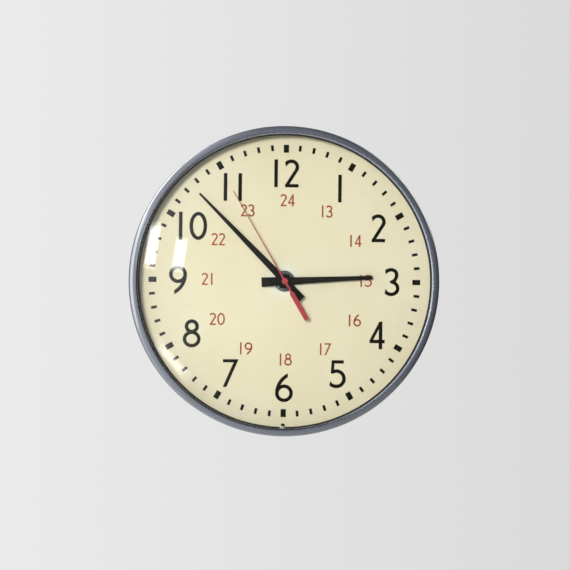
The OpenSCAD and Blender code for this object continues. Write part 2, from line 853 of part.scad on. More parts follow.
module cannon_pinion() {
    color(steel) from_wall() gear(pinion_teeth, cannon_module, minute_tube_r,
        motion_wheel_z - 0.4, motion_wheel_z + wheel_t + 0.4, motion_angle);
}

// ---------------------------------------------------------------- motion work and hour hand

module motion_stud() {
    color(steel) from_wall() translate(motion_at) {
        bar(1, motion_wheel_z - 0.5, front_plate_z);
        bar(1.6, front_plate_z - 1, front_plate_z + frame_t + 0.3);
    }
}

module motion_wheel() {
    color(brass) from_wall() translate(motion_at) wheel(motion_teeth, cannon_module, 1 + gap,
        motion_wheel_z, motion_angle + 180 + 180 / motion_teeth);
}

module motion_pinion() {
    color(steel) from_wall() translate(motion_at) gear(small_teeth, hour_module, 1 + gap,
        motion_wheel_z + wheel_t, hour_wheel_z + wheel_t + 0.5, motion_angle + 180);
}

module hour_wheel() {
    color(brass) from_wall() wheel(hour_teeth, hour_module, hour_tube_r, hour_wheel_z,
        motion_angle + 180 / hour_teeth);
}

module hour_tube() {
    color(brass) from_wall()
        tube(hour_tube_r, minute_tube_r + gap, hour_wheel_z - 0.4, hour_z + hand_t);
}

module hour_hand() {
    color(print_black) from_wall() clockwise(hour_angle) difference() {
        hand_blade([[-25, 10.4], [0, 8.9], [10, 7.8], [38, 6.2], [hour_len, 3.9]], hour_z);
        bar(hour_tube_r, hour_z - 1, hour_z + 2);
    }
}

module hour_hand_boss() {
    color(print_black) from_wall() tube(3.9, hour_tube_r, hour_z - 0.6, hour_z);
}

// ---------------------------------------------------------------- what is drawn

wall_plate();
wall_grommet();
wall_hinge_leaf();
hinge_pin();
plate_rivets();
lock_keeper();
dial_bracket();
dial_posts();
dial_feet();
dial();
dial_screw();
centre_bush();
centre_washer();
centre_nut();
movement_rear_plate();
movement_front_plate();
movement_pillars();
movement_spacers();
movement_screws();
motor_can();
motor_cover();
motor_screws();
motion_stud();
terminal_block();
terminal_screws();
motor_leads();
case_ring();
glass_gasket();
glass();
glass_wire();
glass_wire_tabs();
case_hinge_leaf();
case_rivets();
lock_bush();
lock_bush_nut();
lock_screw();
lock_cam();
second_hand();
second_hand_boss();
seconds_arbor();
seconds_wheel();
seconds_pinion();
third_arbor();
third_wheel();
third_pinion();
minute_hand();
minute_hand_boss();
minute_tube();
centre_wheel();
cannon_pinion();
hour_hand();
hour_hand_boss();
hour_tube();
hour_wheel();
motion_wheel();
motion_pinion();
motor_shaft();
motor_pinion();
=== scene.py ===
import math
import bmesh
import bpy
import numpy as np
from mathutils import Matrix, Vector


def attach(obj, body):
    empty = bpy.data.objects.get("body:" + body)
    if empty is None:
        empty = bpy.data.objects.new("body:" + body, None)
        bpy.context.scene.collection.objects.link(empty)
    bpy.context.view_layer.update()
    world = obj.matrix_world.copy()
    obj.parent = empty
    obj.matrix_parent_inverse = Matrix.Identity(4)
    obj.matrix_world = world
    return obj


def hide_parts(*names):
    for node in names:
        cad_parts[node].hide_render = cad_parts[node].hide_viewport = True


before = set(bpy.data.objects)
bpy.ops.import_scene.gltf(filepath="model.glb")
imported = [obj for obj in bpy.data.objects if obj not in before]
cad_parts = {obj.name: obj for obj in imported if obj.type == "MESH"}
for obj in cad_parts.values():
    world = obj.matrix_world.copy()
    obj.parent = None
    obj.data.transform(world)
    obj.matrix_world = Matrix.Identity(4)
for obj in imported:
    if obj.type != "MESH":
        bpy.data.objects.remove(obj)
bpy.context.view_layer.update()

# A round wall clock, 336 mm across, that faces -Y with its back on the plane y = 0. The sizes of
# its pieces are in millimetres until skin() turns them into metres, and "height" is the distance
# off the wall. The clock is put together from the wall forwards.

# ---------------------------------------------------------------- view, floor and light
# The clock is seen from in front, a little to its left, through a long lens. It hangs over a
# pale round floor, in soft light from large panes on the left, with a dimmer right side. The
# places of the camera and of the lights are in metres.

scene = bpy.context.scene
scene.view_settings.view_transform = "Standard"

view_azimuth = math.radians(-3.7)
view_distance = 2.7
view_aim = Vector((-0.0005, -0.046, -0.0041))
view_width = 0.6116                 # what the view takes in at that distance
view_roll = math.radians(0.7)
camera = bpy.data.objects.new("view", bpy.data.cameras.new("view"))
sensor_width = 36
camera.data.sensor_width = sensor_width
camera.data.lens = sensor_width * view_distance / view_width
toward = Vector((math.sin(view_azimuth), -math.cos(view_azimuth), 0))
camera.matrix_world = (
    Matrix.Translation(view_aim + toward * view_distance)
    @ toward.to_track_quat("Z", "Y").to_matrix().to_4x4()
    @ Matrix.Rotation(view_roll, 4, "Z"))
scene.collection.objects.link(camera)
scene.camera = camera


def skin(name, *patches, sharp=35):
    """One mesh from one or more closed patches, in millimetres.

    A patch is an array (stations, points in a ring, 3). Quads join each ring to the next one.
    Where the last ring repeats the first the patch closes on itself, and otherwise both end
    rings are capped, unless they are a single point. A patch whose signed volume is negative
    is turned round, so that its faces point outwards."""
    corners, faces, start = [], [], 0
    for patch in patches:
        rings, around = patch.shape[:2]
        closed = np.allclose(patch[0], patch[-1], atol=1e-6)
        if closed:
            patch, rings = patch[:-1], rings - 1
        index = np.arange(rings * around).reshape(rings, around)
        near, far = (index, np.roll(index, -1, axis=0)) if closed else (index[:-1], index[1:])
        quads = np.stack([near, np.roll(near, -1, axis=1), np.roll(far, -1, axis=1), far], -1)
        quads = quads.reshape(-1, 4)
        flat = patch.reshape(-1, 3)
        p = (flat - flat.mean(axis=0))[quads]
        volume = np.einsum("ij,ij->", p[:, 0], np.cross(p[:, 1], p[:, 2]))
        volume += np.einsum("ij,ij->", p[:, 0], np.cross(p[:, 2], p[:, 3]))
        loops = quads.tolist()
        if not closed:
            loops += [ring.tolist() for ring, end in ((index[0][::-1], 0), (index[-1], -1))
                      if np.ptp(patch[end], axis=0).max() > 1e-6]
        if volume < 0:
            loops = [loop[::-1] for loop in loops]
        corners.append(flat)
        faces += [[start + corner for corner in loop] for loop in loops]
        start += len(flat)
    mesh = bpy.data.meshes.new(name)
    mesh.from_pydata(np.concatenate(corners) * 0.001, [], faces)
    work = bmesh.new()
    work.from_mesh(mesh)
    bmesh.ops.remove_doubles(work, verts=work.verts, dist=1e-7)
    bmesh.ops.dissolve_degenerate(work, edges=work.edges, dist=1e-7)
    work.to_mesh(mesh)
    work.free()
    mesh.polygons.foreach_set("use_smooth", np.ones(len(mesh.polygons), dtype=bool))
    mesh.set_sharp_from_angle(angle=math.radians(sharp))
    piece = bpy.data.objects.new(name, mesh)
    scene.collection.objects.link(piece)
    return piece


def finish(name, tones, rough, metallic=0.0, grain=(900, 900, 900), bump=0.1, depth=2e-5,
           cloud=14.0):
    """A Principled material. Its colour drifts between two tones with a slow cloud of noise, and
    a fine grain, in cycles a metre along each axis, moves its roughness and raises its bump.
    Returns the material, its node tree and its shader, for what a section adds."""
    material = bpy.data.materials.new(name)
    material.use_nodes = True
    tree = material.node_tree
    shader = tree.nodes["Principled BSDF"]
    shader.inputs["Metallic"].default_value = metallic
    place = tree.nodes.new("ShaderNodeTexCoord")
    stretch = tree.nodes.new("ShaderNodeMapping")
    stretch.inputs["Scale"].default_value = grain
    tree.links.new(place.outputs["Object"], stretch.inputs["Vector"])
    fine = tree.nodes.new("ShaderNodeTexNoise")
    fine.name = "grain"
    fine.inputs["Scale"].default_value = 1.0
    fine.inputs["Detail"].default_value = 3.0
    tree.links.new(stretch.outputs["Vector"], fine.inputs["Vector"])
    slow = tree.nodes.new("ShaderNodeTexNoise")
    slow.name = "cloud"
    slow.inputs["Scale"].default_value = cloud
    slow.inputs["Detail"].default_value = 5.0
    tree.links.new(place.outputs["Object"], slow.inputs["Vector"])
    tone = tree.nodes.new("ShaderNodeValToRGB")
    tone.name = "tone"
    tone.color_ramp.elements[0].position = 0.35
    tone.color_ramp.elements[1].position = 0.65
    for stop, colour in zip(tone.color_ramp.elements, tones):
        stop.color = (*colour, 1)
    tree.links.new(slow.outputs["Fac"], tone.inputs["Fac"])
    tree.links.new(tone.outputs["Color"], shader.inputs["Base Color"])
    level = tree.nodes.new("ShaderNodeMapRange")
    level.name = "level"
    level.inputs["From Min"].default_value = 0.3
    level.inputs["From Max"].default_value = 0.7
    level.inputs["To Min"].default_value = rough[0]
    level.inputs["To Max"].default_value = rough[1]
    tree.links.new(fine.outputs["Fac"], level.inputs["Value"])
    tree.links.new(level.outputs["Result"], shader.inputs["Roughness"])
    raised = tree.nodes.new("ShaderNodeBump")
    raised.name = "raised"
    raised.inputs["Strength"].default_value = bump
    raised.inputs["Distance"].default_value = depth
    tree.links.new(fine.outputs["Fac"], raised.inputs["Height"])
    tree.links.new(raised.outputs["Normal"], shader.inputs["Normal"])
    return material, tree, shader


floor_level = -800
floor_radius = 1150
floor_thick = 12
floor_turn = np.linspace(0, 2 * np.pi, 145)[:, None]
floor_profile = np.array([[0, 0], [floor_radius, 0], [floor_radius, -floor_thick],
                          [0, -floor_thick]]).T
floor = skin("floor", np.stack([
    floor_profile[0] * np.cos(floor_turn), floor_profile[0] * np.sin(floor_turn),
    floor_level + floor_profile[1] + 0 * floor_turn], -1))
floor.data.materials.append(finish(
    "pale_floor", [(0.74, 0.74, 0.73), (0.78, 0.78, 0.77)], (0.75, 0.9), cloud=2)[0])

room = bpy.data.worlds.new("room")
scene.world = room
room.use_nodes = True
room_tree = room.node_tree
ground = room_tree.nodes["Background"]
direction = room_tree.nodes.new("ShaderNodeTexCoord")
split = room_tree.nodes.new("ShaderNodeSeparateXYZ")
room_tree.links.new(direction.outputs["Generated"], split.inputs["Vector"])
# the room is bright on the left of the clock and dark on its right
side = room_tree.nodes.new("ShaderNodeValToRGB")
side.color_ramp.elements[0].position = 0.24
side.color_ramp.elements[0].color = (1.05, 1.07, 1.11, 1)
side.color_ramp.elements[1].position = 0.54
side.color_ramp.elements[1].color = (0.045, 0.045, 0.045, 1)
for place, shade in ((0.32, 0.85), (0.40, 0.26), (0.46, 0.06)):
    side.color_ramp.elements.new(place).color = (shade, shade * 1.01, shade * 1.03, 1)
centred = room_tree.nodes.new("ShaderNodeMapRange")
centred.inputs["From Min"].default_value = -1
centred.inputs["From Max"].default_value = 1
room_tree.links.new(split.outputs["X"], centred.inputs["Value"])
room_tree.links.new(centred.outputs["Result"], side.inputs["Fac"])
seen = room_tree.nodes.new("ShaderNodeLightPath")
behind = room_tree.nodes.new("ShaderNodeMix")
behind.data_type = "RGBA"
room_tree.links.new(seen.outputs["Is Camera Ray"], behind.inputs["Factor"])
room_tree.links.new(side.outputs["Color"], behind.inputs["A"])
# what the camera sees behind the clock is pale, with painted shade that darkens it a little to
# the right
fall = room_tree.nodes.new("ShaderNodeMapRange")
fall.inputs["From Min"].default_value = -0.05
fall.inputs["From Max"].default_value = 0.18
fall.inputs["To Min"].default_value = 0.83
fall.inputs["To Max"].default_value = 0.70
room_tree.links.new(split.outputs["X"], fall.inputs["Value"])
room_tree.links.new(fall.outputs["Result"], behind.inputs["B"])
room_tree.links.new(behind.outputs["Result"], ground.inputs["Color"])


def pane(name, toward_it, distance, width, height, radiance, lean=0, glossy=True):
    """A rectangular soft light at (azimuth, elevation) in degrees from the dial's middle, which
    it faces. Its power is its radiance times pi times its area. It leans clockwise, and one
    that isn't glossy leaves no reflection."""
    light = bpy.data.lights.new(name, "AREA")
    light.shape = "RECTANGLE"
    light.size, light.size_y = width, height
    light.energy = radiance * math.pi * width * height
    light.color = (0.98, 0.99, 1)
    lamp = bpy.data.objects.new(name, light)
    lamp.visible_camera = False
    lamp.visible_glossy = lamp.visible_transmission = glossy
    across, up = (math.radians(angle) for angle in toward_it)
    away = Vector((math.sin(across) * math.cos(up), -math.cos(across) * math.cos(up),
                   math.sin(up)))
    lamp.matrix_world = (Matrix.Translation(away * distance)
                         @ away.to_track_quat("Z", "Y").to_matrix().to_4x4()
                         @ Matrix.Rotation(math.radians(-lean), 4, "Z"))
    scene.collection.objects.link(lamp)


pane("key", (-19, 13), 1.7, 0.34, 0.34, 56, glossy=False)
pane("left_wall", (-96, 4), 2.6, 2.4, 2.2, 4)
pane("rear_left", (-145, 25), 3.6, 2.0, 1.6, 4)
pane("rear_right", (135, 25), 3.6, 2.0, 1.6, 3)
# three windows that show in the glass: dimmer and wider panes behind give them soft edges
for layer, (spread, radiance) in enumerate(((0.45, 9), (0.65, 7), (0.85, 5), (1.05, 2.2))):
    distance = 3.5 + 0.02 * layer
    pane(f"window_near_{layer}", (-25.5, 7.3), distance, 0.15 * spread + 0.01, 0.60 * spread,
         radiance, lean=7)
    pane(f"window_far_{layer}", (-19.5, 5.4), distance, 0.15 * spread + 0.01, 0.44 * spread,
         radiance, lean=7)
    pane(f"window_low_{layer}", (-21.5, -16.9), distance, 0.13 * spread + 0.02, 0.74 * spread,
         0.17 * radiance, lean=-38)

# ---------------------------------------------------------------- wall plate and its fittings
# A pressed pan of galvanised steel that stays on the wall, with its hinge leaf, lock keeper,
# dial bracket and turned posts. Everything else is riveted or screwed to it.


def dress(material, *nodes):
    """Gives the CAD nodes that keep their own shape this material."""
    for node in nodes:
        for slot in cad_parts[node].material_slots:
            slot.material = material


zinc, zinc_tree, zinc_shader = finish(
    "galvanised_steel", [(0.50, 0.52, 0.54), (0.60, 0.61, 0.62)], (0.30, 0.46), metallic=0.85,
    grain=(700, 700, 700), bump=0.15, depth=1e-5, cloud=9)
# zinc freezes in flat crystals about 7 mm across, each with its own grey
crystal = zinc_tree.nodes.new("ShaderNodeTexVoronoi")
crystal.inputs["Scale"].default_value = 140
zinc_place = next(n for n in zinc_tree.nodes if n.bl_idname == "ShaderNodeTexCoord")
zinc_tree.links.new(zinc_place.outputs["Object"], crystal.inputs["Vector"])
crystal_tone = zinc_tree.nodes.new("ShaderNodeMix")
crystal_tone.data_type = "RGBA"
crystal_tone.blend_type = "SOFT_LIGHT"
crystal_tone.inputs["Factor"].default_value = 0.32
zinc_tree.links.new(zinc_tree.nodes["tone"].outputs["Color"], crystal_tone.inputs["A"])
zinc_tree.links.new(crystal.outputs["Color"], crystal_tone.inputs["B"])
crystal_grey = zinc_tree.nodes.new("ShaderNodeHueSaturation")
crystal_grey.inputs["Saturation"].default_value = 0.12
zinc_tree.links.new(crystal_tone.outputs["Result"], crystal_grey.inputs["Color"])
zinc_tree.links.new(crystal_grey.outputs["Color"], zinc_shader.inputs["Base Color"])
dress(zinc, "wall_plate", "wall_hinge_leaf", "lock_keeper", "dial_bracket", "case_hinge_leaf")

turned_zinc = finish(
    "turned_zinc_steel", [(0.56, 0.57, 0.58), (0.64, 0.64, 0.63)], (0.22, 0.36), metallic=1.0,
    grain=(300, 3500, 300), bump=0.12, depth=8e-6, cloud=30)[0]
dress(turned_zinc, "dial_posts", "motor_cover", "glass_wire_tabs", "lock_bush", "lock_bush_nut",
      "lock_cam")

bright = finish(
    "bright_steel", [(0.62, 0.62, 0.63), (0.70, 0.70, 0.69)], (0.16, 0.28), metallic=1.0,
    grain=(2500, 500, 2500), bump=0.08, depth=6e-6, cloud=40)[0]
dress(bright, "hinge_pin", "plate_rivets", "dial_feet", "movement_screws", "motor_can",
      "motor_screws", "motion_stud", "case_rivets", "lock_screw",
      "seconds_arbor", "seconds_pinion", "third_arbor", "third_pinion", "minute_tube",
      "cannon_pinion", "motion_pinion", "motor_shaft")

rubber = finish(
    "black_rubber", [(0.018, 0.018, 0.019), (0.030, 0.029, 0.028)], (0.52, 0.72),
    grain=(1800, 1800, 1800), bump=0.2, depth=1.5e-5, cloud=25)[0]
dress(rubber, "wall_grommet")

# ---------------------------------------------------------------- movement
# Two brass plates on four pillars hold the wheels, which a small sealed motor drives. Its two
# leads come from a moulded terminal block. All of it is screwed to the wall plate.

brass, _, brass_shader = finish(
    "lacquered_brass", [(0.62, 0.43, 0.17), (0.74, 0.54, 0.24)], (0.22, 0.38), metallic=1.0,
    grain=(260, 4000, 4000), bump=0.10, depth=6e-6, cloud=35)
brass_shader.inputs["Coat Weight"].default_value = 0.35
brass_shader.inputs["Coat Roughness"].default_value = 0.12
dress(brass, "movement_rear_plate", "movement_front_plate", "movement_pillars",
      "movement_spacers", "centre_bush", "terminal_screws", "seconds_wheel", "third_wheel",
      "centre_wheel", "motion_wheel", "hour_wheel", "hour_tube", "motor_pinion")

moulding = finish(
    "cream_moulding", [(0.66, 0.60, 0.45), (0.72, 0.67, 0.52)], (0.34, 0.48),
    grain=(500, 500, 500), bump=0.1, depth=2e-5, cloud=20)[0]
dress(moulding, "terminal_block")

insulation = finish(
    "lead_insulation", [(0.035, 0.034, 0.033), (0.055, 0.052, 0.050)], (0.42, 0.58),
    grain=(1500, 1500, 1500), bump=0.15, depth=1e-5, cloud=30)[0]
dress(insulation, "motor_leads")

# ---------------------------------------------------------------- dial
# A sheet metal disc, sprayed cream and aged a little, held by the nut on the centre bush, four
# feet in the posts and one dark screw at 6 o'clock.

dial_face = 27.0                    # height of the dial's face
cream, cream_tree, cream_shader = finish(
    "cream_dial_enamel", [(0.800, 0.718, 0.490), (0.845, 0.767, 0.553)], (0.46, 0.56),
    grain=(650, 650, 650), bump=0.08, depth=1.5e-5, cloud=11)
# faint foxing: small warm specks where age has got through the enamel
specks = cream_tree.nodes.new("ShaderNodeTexNoise")
specks.inputs["Scale"].default_value = 230
specks.inputs["Detail"].default_value = 2
cream_place = next(n for n in cream_tree.nodes if n.bl_idname == "ShaderNodeTexCoord")
cream_tree.links.new(cream_place.outputs["Object"], specks.inputs["Vector"])
speck_level = cream_tree.nodes.new("ShaderNodeMapRange")
speck_level.inputs["From Min"].default_value = 0.66
speck_level.inputs["From Max"].default_value = 0.80
speck_level.inputs["To Max"].default_value = 0.35
cream_tree.links.new(specks.outputs["Fac"], speck_level.inputs["Value"])
speck_tone = cream_tree.nodes.new("ShaderNodeMix")
speck_tone.data_type = "RGBA"
speck_tone.inputs["B"].default_value = (0.62, 0.46, 0.27, 1)
cream_tree.links.new(speck_level.outputs["Result"], speck_tone.inputs["Factor"])
cream_tree.links.new(cream_tree.nodes["tone"].outputs["Color"], speck_tone.inputs["A"])
# painted reflection: the enamel is paler in a ring round the centre, a painted halo of the bright
# washer's light
flat_place = cream_tree.nodes.new("ShaderNodeVectorMath")
flat_place.operation = "MULTIPLY"
flat_place.inputs[1].default_value = (1, 0, 1)
cream_tree.links.new(cream_place.outputs["Object"], flat_place.inputs[0])
from_middle = cream_tree.nodes.new("ShaderNodeVectorMath")
from_middle.operation = "LENGTH"
cream_tree.links.new(flat_place.outputs["Vector"], from_middle.inputs[0])
washer_halo_level = cream_tree.nodes.new("ShaderNodeMapRange")
washer_halo_level.inputs["From Min"].default_value = 0.022
washer_halo_level.inputs["From Max"].default_value = 0.012
cream_tree.links.new(from_middle.outputs["Value"], washer_halo_level.inputs["Value"])
# the paler cream that paints the washer's halo on the dial
washer_halo_tone = cream_tree.nodes.new("ShaderNodeMix")
washer_halo_tone.data_type = "RGBA"
washer_halo_tone.inputs["B"].default_value = (0.86, 0.84, 0.70, 1)
cream_tree.links.new(washer_halo_level.outputs["Result"], washer_halo_tone.inputs["Factor"])
cream_tree.links.new(speck_tone.outputs["Result"], washer_halo_tone.inputs["A"])
cream_tree.links.new(washer_halo_tone.outputs["Result"], cream_shader.inputs["Base Color"])
dress(cream, "dial")

black, _, black_shader = finish(
    "black_paint", [(0.0085, 0.0078, 0.0062), (0.0140, 0.0128, 0.0100)], (0.40, 0.54),
    grain=(900, 900, 900), bump=0.12, depth=1.2e-5, cloud=40)
black_shader.inputs["Specular IOR Level"].default_value = 0.3
dress(black, "dial_screw", "minute_hand_boss", "hour_hand_boss", "centre_nut")

# ---------------------------------------------------------------- minute marks and numerals
# Screen printed on the dial: a block for each minute, larger ones at the hours, 1 to 12 in
# black with 13 to 24 in small red figures inside them. The ink stands a few hundredths proud.

ink_back = dial_face + 0.015
ink_front = dial_face + 0.06
mark_end_r = 146.9                  # outer ends of all the marks
minute_mark = (3.0, 6.3)            # width and length
hour_mark = (5.7, 8.6)
full_height = 30.0                  # height at which the figures are drawn
numeral_r = 115.8
numeral_height = 30.0
numeral_stroke = 3.85               # stroke width at full height
small_numeral_r = 85.9
small_numeral_height = 13.0
small_numeral_stroke = 3.9
# each screen sat a little off centre, and printed this far right and up
mark_shift = (0.4, 0.3)
numeral_shift = (1.0, 0.5)
small_numeral_shift = (2.5, 1.4)


def on_dial(flat, across, up, turn, size, lift=0.0):
    """Rings of ink from rings drawn flat at full size: each (x, y) is scaled, turned clockwise
    and moved to (across, up) on the dial, once at the ink's back and once at its front."""
    c, s = math.cos(turn), math.sin(turn)
    x = across + size * (flat[..., 0] * c + flat[..., 1] * s)
    y = up + size * (flat[..., 1] * c - flat[..., 0] * s)
    low = np.stack([x, 0 * x - ink_back, y], -1)
    high = np.stack([x, 0 * x - ink_front - lift, y], -1)
    # a ring goes along the back from the left edge to the right one, and home along the front
    return np.concatenate([low, high[:, ::-1]], axis=1)


def stroke(points, width, cut_start=None, cut_end=None):
    """A stroke of even width along a path: left and right edge points for each path point. Its
    ends are square, or cut level ("y") or upright ("x") through the path's end point."""
    points = np.asarray(points, dtype=float)
    along = np.gradient(points, axis=0)
    if np.allclose(points[0], points[-1]):
        along[0] = along[-1] = points[1] - points[-2]
    along /= np.linalg.norm(along, axis=1)[:, None]
    normal = np.stack([-along[:, 1], along[:, 0]], -1)
    edges = np.stack([points + normal * width / 2, points - normal * width / 2], axis=1)
    for end, cut in ((0, cut_start), (-1, cut_end)):
        if cut:
            axis = "xy".index(cut)
            short = (points[end, axis] - edges[end, :, axis]) / along[end, axis]
            edges[end] += short[:, None] * along[end]
    return edges


def bow(x, y, rx, ry, start, stop, steps=18):
    """Points on an arc of an ellipse round (x, y), between two angles in degrees."""
    a = np.radians(np.linspace(start, stop, steps + 1))
    return np.stack([x + rx * np.cos(a), y + ry * np.sin(a)], -1)


def figure(digit, w):
    """The strokes of a plain upright figure at full height, of stroke width w, round (0, 0)."""
    top, foot, bar = 15.0, -15.0, 13.3
    if digit == "0":
        return [stroke(bow(0, 0, 7.6, 13.2, 90, 450, 48), w)]
    if digit == "1":
        return [stroke([(0, foot), (0, top)], w)]
    if digit == "2":
        sweep = np.concatenate([bow(-0.4, 6.9, 7.2, 6.3, 148, 90, 10)[:-1],
                                bow(-0.4, 6.9, 6.2, 6.3, 90, -38)])
        slope = [sweep[-1], (-5.3, -12.6)]
        return [stroke(sweep, w, "x"), stroke(slope, w * 0.95, None, "y"),
                stroke([(-7.3, -bar + 0.1), (7.3, -bar + 0.1)], w * 0.95)]
    if digit == "3":
        upper = np.concatenate([bow(-1.0, 7.9, 7.2, 5.4, 148, 90, 8)[:-1],
                                bow(-1.0, 7.9, 5.8, 5.4, 90, 0, 10)[:-1],
                                bow(-1.0, 7.9, 5.8, 7.6, 0, -80, 10)])
        lower = np.concatenate([bow(-1.0, -7.1, 7.1, 7.2, 92, 0, 10)[:-1],
                                bow(-1.0, -7.1, 7.1, 6.3, 0, -90, 10)[:-1],
                                bow(-1.0, -7.1, 7.3, 6.3, -90, -148, 8)])
        return [stroke(upper, w, "x"), stroke(lower, w, None, "x"),
                stroke([(-2.6, 0.15), (0.6, 0.15)], w * 0.6)]
    if digit == "4":
        return [stroke([(3.6, foot), (3.6, top)], w),
                stroke([(-8.3, -6.6), (8.2, -6.6)], w * 0.95),
                stroke([(-6.6, -5.6), (4.1, top)], w * 0.85, "y", "y")]
    if digit == "5":
        bowl = np.concatenate([bow(-1.3, -5.0, 8.2, 8.4, 124, 0, 14)[:-1],
                               bow(-1.3, -5.0, 8.2, 8.2, 0, -90, 10)[:-1],
                               bow(-1.3, -5.0, 9.0, 8.2, -90, -140, 8)])
        return [stroke([(-6.6, bar), (6.4, bar)], w * 0.95),
                stroke([(-5.05, top), (-5.9, 0.6)], w * 0.85, "y"), stroke(bowl, w, None, "x")]
    if digit in "69":
        edges = [stroke(bow(14.3, -5.6, 22.0, 22.0, 180, 118), w, None, "x"),
                 stroke(bow(0, -5.6, 7.7, 7.6, 180, 540, 40), w)]
        return edges if digit == "6" else [-e for e in edges]
    if digit == "7":
        return [stroke([(-8.4, bar), (7.4, bar)], w * 0.9),
                stroke([(-6.4, foot), (6.5, top)], w * 0.95, "y", "y")]
    return [stroke(bow(0, 7.6, 5.7, 5.6, -90, 270, 40), w),
            stroke(bow(0, -6.0, 7.7, 7.2, 90, 450, 40), w)]


# half the room that each figure takes up, from its middle to its side
figure_half = {"0": 9.4, "1": 1.8, "2": 7.5, "3": 7.8, "4": 8.3, "5": 8.2, "6": 9.4, "7": 8.4,
               "8": 9.4, "9": 9.4}
beside_one, beside_other = 6.1, 1.7  # clear space beside a 1, and beside any other figure
hair = 0.004


def number(text, ring_r, hour, height, w, shift):
    """Patches of ink for an upright number, centred on its hour's place in a ring. Strokes that
    cross differ in height by a hair, so no two front faces lie in one plane."""
    halves = [figure_half[d] for d in text]
    space = [beside_one if d == "1" else beside_other for d in text]
    step = halves[0] + space[0] + space[-1] + halves[-1] if len(text) == 2 else 0
    middle = (step + halves[-1] - halves[0]) / 2
    turn = math.radians(30 * hour)
    size = height / full_height
    patches = []
    for place, digit in enumerate(text):
        across = shift[0] + ring_r * math.sin(turn) + size * (place * step - middle)
        up = shift[1] + ring_r * math.cos(turn)
        patches += [on_dial(edges, across, up, 0, size, hair * layer)
                    for layer, edges in enumerate(figure(digit, w))]
    return patches


def print_on_dial(piece, material):
    """Gives a printed piece its ink. It stays with the dial on the wall."""
    piece.data.materials.append(material)
    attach(piece, "wall_unit")


print_black, _, black_ink = finish(
    "black_print", [(0.0060, 0.0046, 0.0016), (0.0100, 0.0080, 0.0040)], (0.50, 0.62),
    grain=(1200, 1200, 1200), bump=0.1, depth=8e-6, cloud=60)
print_red, _, red_ink = finish(
    "red_print", [(0.330, 0.064, 0.018), (0.410, 0.088, 0.028)], (0.50, 0.62),
    grain=(1200, 1200, 1200), bump=0.1, depth=8e-6, cloud=60)
black_ink.inputs["Specular IOR Level"].default_value = 0.15
red_ink.inputs["Specular IOR Level"].default_value = 0.15


def marks(every, width, length):
    """A radial block of ink at each of these minutes, its outer end on the marks' circle."""
    block = stroke([(0, mark_end_r - length), (0, mark_end_r)], width)
    return [on_dial(block, *mark_shift, math.radians(6 * minute), 1) for minute in every]


print_on_dial(skin("minute_marks", *marks([m for m in range(60) if m % 5], *minute_mark)),
              print_black)
print_on_dial(skin("hour_marks", *marks(range(0, 60, 5), *hour_mark)),
              print_black)
print_on_dial(skin("hour_numerals", *[
    ink for hour in range(1, 13)
    for ink in number(str(hour), numeral_r, hour, numeral_height, numeral_stroke,
                      numeral_shift)]),
    print_black)
print_on_dial(skin("afternoon_numerals", *[
    ink for hour in range(13, 25)
    for ink in number(str(hour), small_numeral_r, hour, small_numeral_height,
                      small_numeral_stroke, small_numeral_shift)]),
    print_red)

# ---------------------------------------------------------------- centre washer
# A spun aluminium washer between the dial and the nut, crowned towards the nut, with a rolled
# rim. The nut presses it on the dial, and so holds the dial on the centre bush.


def turned(profile, turns=(0, 360), sides=192):
    """A body of revolution about the clock's axis. The profile is a closed loop of (radius,
    height), and it is carried round clockwise from one angle in degrees to the other."""
    profile = np.asarray(profile, dtype=float)
    a = np.radians(np.linspace(*turns, sides + 1))[:, None]
    r, h = profile[:, 0], profile[:, 1]
    return np.stack([r * np.sin(a), -h + 0 * a, r * np.cos(a)], -1)


aluminium = finish(
    "spun_aluminium", [(0.60, 0.64, 0.70), (0.70, 0.73, 0.78)], (0.20, 0.34), metallic=1.0,
    grain=(1500, 1500, 1500), bump=0.06, depth=5e-6, cloud=120)[0]
washer_bore = 4.2
washer_rim_r = 11.25                # middle of the rolled rim
washer_back = dial_face + 0.02
washer = skin("spun_washer", turned(np.concatenate([
    [(washer_bore, washer_back), (washer_rim_r + 0.05, washer_back)],
    bow(washer_rim_r, dial_face + 0.35, 0.35, 0.33, -90, 90, 8),
    bow(7.4, dial_face - 1.9, 3.2, 2.7, 80, 100, 6),
    [(washer_bore, dial_face + 0.78)]]), sides=96))
washer.data.materials.append(aluminium)
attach(washer, "wall_unit")
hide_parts("centre_washer")

# ---------------------------------------------------------------- hour and minute hands
# Blanked from sheet and painted black, with a small round on their front edges. Each is riveted
# on a boss that grips its own tube.

hand_thick = 0.7
hand_round = 0.22                   # radius of the round on a front edge
# each row is (distance along the hand, width), from the tail to the tip
minute_rows = [(-26.7, 7.8), (0, 8.0), (131.5, 2.2)]
minute_hole_r = 1.66
minute_back = 33.6                  # height of the blade's back
minute_angle = 315.1                # degrees clockwise from 12
hour_rows = [(-25, 10.4), (0, 8.9), (10, 7.8), (38, 6.2), (95, 3.9)]
hour_hole_r = 2.61
hour_back = 31
hour_angle = 86.9


def reach(rows, angles):
    """Distance from the hub to a hand's outline in each direction. rows of (distance along the
    hand, width) give the outline, and each direction's ray is cut with all of its edges."""
    rows = np.asarray(rows, dtype=float)
    right = np.stack([rows[:, 1] / 2, rows[:, 0]], -1)
    outline = np.concatenate([right, right[::-1] * (-1, 1)])
    p, q = outline, np.roll(outline, -1, axis=0)
    e = q - p
    d = np.stack([np.cos(angles), np.sin(angles)], -1)[:, None]
    det = d[..., 0] * -e[:, 1] + d[..., 1] * e[:, 0]
    det = np.where(np.abs(det) < 1e-12, 1e-12, det)
    far = (p[:, 0] * -e[:, 1] + p[:, 1] * e[:, 0]) / det
    part = (d[..., 0] * p[:, 1] - d[..., 1] * p[:, 0]) / det
    hit = (far > 0) & (part > -1e-9) & (part < 1 + 1e-9)
    return np.where(hit, far, np.inf).min(axis=1)


